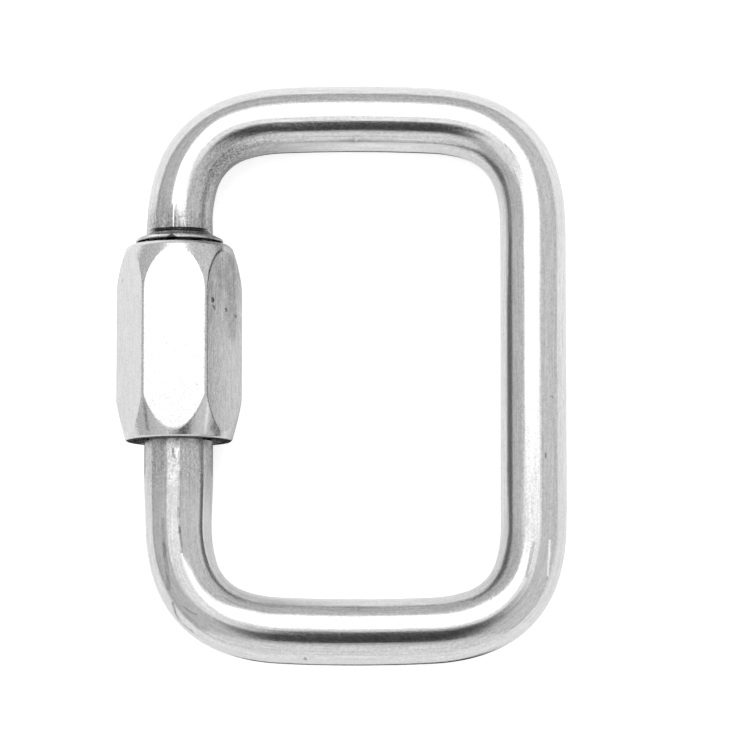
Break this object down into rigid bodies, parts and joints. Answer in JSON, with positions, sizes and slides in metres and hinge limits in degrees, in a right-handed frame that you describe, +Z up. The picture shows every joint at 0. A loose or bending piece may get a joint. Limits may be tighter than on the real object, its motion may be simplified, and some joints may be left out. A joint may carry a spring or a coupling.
{
  "type": "quick link",
  "caption": "Rectangular screw-lock quick link: a bent round steel bar with a gap in one long side, closed by a long hexagonal sleeve nut that screws up to a collar.",
  "frame": {"origin": "middle of the window, in the middle plane of the bar", "axes": "the link lies flat: +X across it, away from the nut; +Y along it, from the nut towards the collar; +Z up, out of the plane of the link"},
  "size_m": [0.0408, 0.0528, 0.0104],
  "materials": {
    "bar_steel": "tumbled stainless round bar, satin bright, with faint drawing lines along the bar and small scuffs and pits inside the bends",
    "nut_steel": "stainless hexagon bar, finely brushed along its length, with turned ends and a few small nicks"
  },
  "bodies": {
    "link": {"bent_bar": "bar_steel"},
    "nut_carrier": {"nut_guide_lip": "nut_steel"},
    "nut": {"hex_nut": "nut_steel"}
  },
  "joints": [
    {"name": "nut_travel", "type": "slide", "parent": "link", "child": "nut_carrier", "axis": [0, -1, 0], "range_m": [0, 0.0095]},
    {"name": "nut_turn", "type": "hinge", "parent": "nut_carrier", "child": "nut", "pos_m": [-0.01605, 0, 0], "axis": [0, -1, 0], "range_deg": [0, 3419.9]}
  ],
  "couplings": [
    {"joint": "nut_travel", "follows": "nut_turn", "m_per_rad": 0.00015915}
  ]
}
